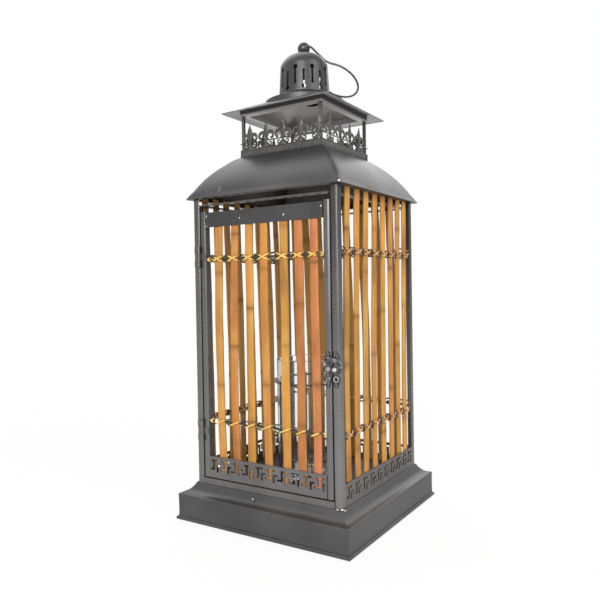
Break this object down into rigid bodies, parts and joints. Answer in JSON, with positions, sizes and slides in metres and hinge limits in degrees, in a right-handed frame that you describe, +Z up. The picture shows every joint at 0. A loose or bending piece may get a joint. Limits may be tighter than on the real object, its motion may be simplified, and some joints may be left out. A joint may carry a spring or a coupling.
{
  "type": "lantern",
  "caption": "Square candle lantern with lashed bamboo walls, a latched hinged door, a convex hipped roof, a fleur-de-lis gallery, a vented chimney and a wire bail.",
  "frame": {"origin": "middle of the square foot, on the plane that the lantern stands on", "axes": "+Z up along the chimney axis, -Y out of the door, +X to the right of a person facing the door"},
  "size_m": [0.2104, 0.2104, 0.5174],
  "materials": {
    "dark_metal": "semi-matte pewter lacquer over sheet steel, lightly scratched",
    "latch_metal": "dark satin, worn at the edges",
    "wire_steel": "dull grey drawn wire",
    "bamboo": "split bamboo, satin, tan to golden",
    "raffia": "matte twisted straw",
    "clear_glass": "clear, smooth"
  },
  "bodies": {
    "frame": {"base_pan": "dark_metal", "post_front_left": "dark_metal", "post_front_right": "dark_metal", "post_back_left": "dark_metal", "post_back_right": "dark_metal", "front_sill": "dark_metal", "header_front": "dark_metal", "header_back": "dark_metal", "header_left": "dark_metal", "header_right": "dark_metal", "roof_shell": "dark_metal", "gallery_posts": "dark_metal", "gallery_top_frame": "dark_metal", "canopy": "dark_metal", "chimney_skirt": "dark_metal", "chimney": "dark_metal", "chimney_dome": "dark_metal", "finial": "dark_metal", "glass_holder": "wire_steel", "hinge_post_knuckles": "wire_steel", "hinge_pins": "wire_steel", "catch_plate": "latch_metal", "catch_stud": "latch_metal", "cresting_front": "dark_metal", "cresting_back": "dark_metal", "cresting_right": "dark_metal", "cresting_left": "dark_metal", "right_lashings": "raffia", "right_fret": "dark_metal", "right_slats": "bamboo", "back_lashings": "raffia", "back_fret": "dark_metal", "back_slats": "bamboo", "left_lashings": "raffia", "left_fret": "dark_metal", "left_slats": "bamboo"},
    "door": {"door_stile_hinge": "dark_metal", "door_stile_latch": "dark_metal", "door_top_rail": "dark_metal", "door_fret": "dark_metal", "door_slats": "bamboo", "door_lashings": "raffia", "hinge_door_knuckles": "wire_steel", "latch_plate": "latch_metal", "latch_pivot": "latch_metal"},
    "latch": {"latch_hook": "latch_metal"},
    "bail": {"bail_handle": "wire_steel"},
    "glass": {"candle_glass": "clear_glass"}
  },
  "joints": [
    {"name": "door_swing", "type": "hinge", "parent": "frame", "child": "door", "pos_m": [-0.0797, -0.0899, 0.1], "axis": [0, 0, -1], "range_deg": [0, 115]},
    {"name": "latch_lift", "type": "hinge", "parent": "door", "child": "latch", "pos_m": [0.0755, -0.0898, 0.1782], "axis": [0, -1, 0], "range_deg": [0, 75]},
    {"name": "bail_swing", "type": "hinge", "parent": "frame", "child": "bail", "pos_m": [0, 0, 0.51054], "axis": [0.9245, -0.3811, 0], "range_deg": [0, 240]},
    {"name": "glass_lift", "type": "slide", "parent": "frame", "child": "glass", "axis": [0, 0, 1], "range_m": [0, 0.106]}
  ]
}
